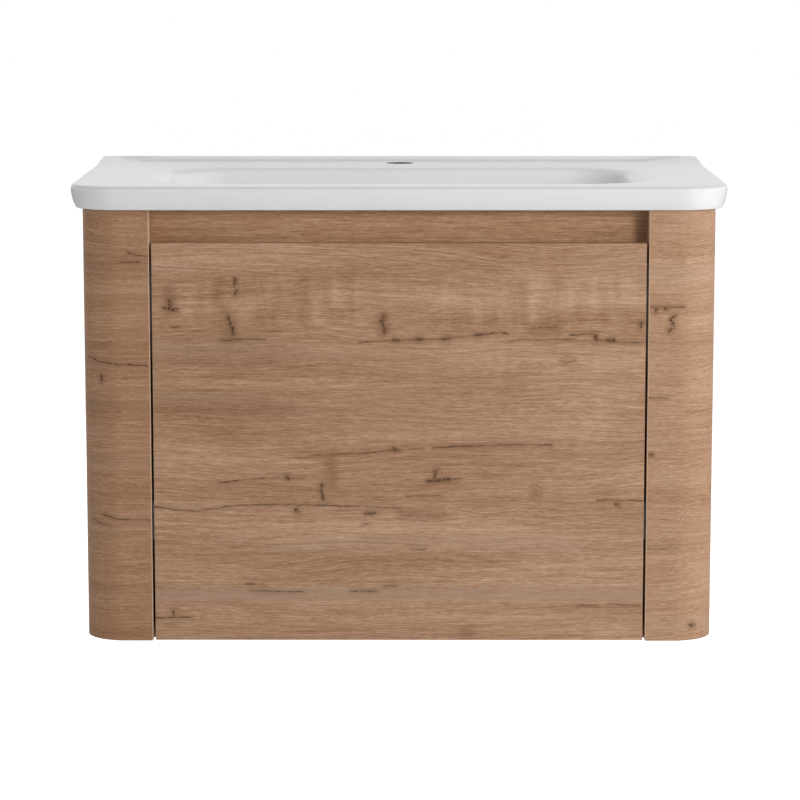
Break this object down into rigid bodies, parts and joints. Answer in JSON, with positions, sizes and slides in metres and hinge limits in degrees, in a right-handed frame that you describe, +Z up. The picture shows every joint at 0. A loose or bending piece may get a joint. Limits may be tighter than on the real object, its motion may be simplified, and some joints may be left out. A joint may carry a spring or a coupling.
{
  "type": "floating vanity",
  "caption": "Wall-hung bathroom vanity with rounded oak-look side panels, a deep handleless drawer on ball runners and a white ceramic basin with a tap hole.",
  "frame": {"origin": "on the wall plane, midway between the four wall screws of the two hanging plates", "axes": "+X to the right as seen by someone facing the vanity, +Y into the wall, +Z up; the drawer opens towards -Y"},
  "size_m": [0.81, 0.458, 0.572],
  "materials": {
    "oak_foil": "matt oak-look foil with level grain on board",
    "drawer_board": "grey linen-look melamine on board",
    "beech": "raw beech",
    "ceramic": "glossy white glaze",
    "silicone": "white sanitary silicone",
    "clear_bumper": "clear soft dots",
    "chrome": "polished chrome",
    "zinc_steel": "bright zinc-plated steel",
    "ball_steel": "greased steel cage and balls",
    "zinc_casting": "plain die-cast zinc",
    "zinc_screw": "zinc-plated screws",
    "cap_plastic": "light grey moulded plastic"
  },
  "bodies": {
    "cabinet": {"left_side_panel": "oak_foil", "right_side_panel": "oak_foil", "left_inner_side": "oak_foil", "right_inner_side": "oak_foil", "left_battens": "beech", "right_battens": "beech", "bottom_panel": "oak_foil", "recess_rail": "oak_foil", "rear_top_rail": "oak_foil", "rear_bottom_rail": "oak_foil", "carcass_dowels": "beech", "carcass_screws": "zinc_screw", "front_bumpers": "clear_bumper", "basin": "ceramic", "basin_seal": "silicone", "overflow_ring": "chrome", "left_wall_plate": "zinc_steel", "right_wall_plate": "zinc_steel", "left_hanger_body": "zinc_casting", "right_hanger_body": "zinc_casting", "left_hanger_hook": "zinc_steel", "right_hanger_hook": "zinc_steel", "height_adjusting_screws": "zinc_screw", "depth_adjusting_screws": "zinc_screw", "hanger_screws": "zinc_screw", "left_hanger_cap": "cap_plastic", "right_hanger_cap": "cap_plastic", "left_cabinet_rail": "zinc_steel", "right_cabinet_rail": "zinc_steel", "cabinet_rail_screws": "zinc_screw"},
    "drawer": {"left_drawer_rail": "zinc_steel", "right_drawer_rail": "zinc_steel", "drawer_rail_screws": "zinc_screw", "drawer_front": "oak_foil", "drawer_inner_front": "drawer_board", "drawer_left_side": "drawer_board", "drawer_right_side": "drawer_board", "drawer_left_back": "drawer_board", "drawer_right_back": "drawer_board", "drawer_bottom": "drawer_board", "trap_cutout_left": "drawer_board", "trap_cutout_right": "drawer_board", "trap_cutout_front": "drawer_board", "drawer_front_screws": "zinc_screw", "drawer_box_screws": "zinc_screw"},
    "left_middle_member": {"left_middle_rail": "zinc_steel"},
    "right_middle_member": {"right_middle_rail": "zinc_steel"},
    "left_outer_balls": {"left_outer_ball_cage": "ball_steel"},
    "right_outer_balls": {"right_outer_ball_cage": "ball_steel"},
    "left_inner_balls": {"left_inner_ball_cage": "ball_steel"},
    "right_inner_balls": {"right_inner_ball_cage": "ball_steel"}
  },
  "joints": [
    {"name": "drawer_slide", "type": "slide", "parent": "cabinet", "child": "drawer", "axis": [0, -1, 0], "range_m": [0, 0.4]},
    {"name": "left_middle_slide", "type": "slide", "parent": "cabinet", "child": "left_middle_member", "axis": [0, -1, 0], "range_m": [0, 0.2]},
    {"name": "right_middle_slide", "type": "slide", "parent": "cabinet", "child": "right_middle_member", "axis": [0, -1, 0], "range_m": [0, 0.2]},
    {"name": "left_outer_cage_slide", "type": "slide", "parent": "cabinet", "child": "left_outer_balls", "axis": [0, -1, 0], "range_m": [0, 0.1]},
    {"name": "right_outer_cage_slide", "type": "slide", "parent": "cabinet", "child": "right_outer_balls", "axis": [0, -1, 0], "range_m": [0, 0.1]},
    {"name": "left_inner_cage_slide", "type": "slide", "parent": "cabinet", "child": "left_inner_balls", "axis": [0, -1, 0], "range_m": [0, 0.3]},
    {"name": "right_inner_cage_slide", "type": "slide", "parent": "cabinet", "child": "right_inner_balls", "axis": [0, -1, 0], "range_m": [0, 0.3]}
  ],
  "couplings": [
    {"joint": "left_middle_slide", "follows": "drawer_slide", "ratio": 0.5},
    {"joint": "right_middle_slide", "follows": "drawer_slide", "ratio": 0.5},
    {"joint": "left_outer_cage_slide", "follows": "drawer_slide", "ratio": 0.25},
    {"joint": "right_outer_cage_slide", "follows": "drawer_slide", "ratio": 0.25},
    {"joint": "left_inner_cage_slide", "follows": "drawer_slide", "ratio": 0.75},
    {"joint": "right_inner_cage_slide", "follows": "drawer_slide", "ratio": 0.75}
  ]
}
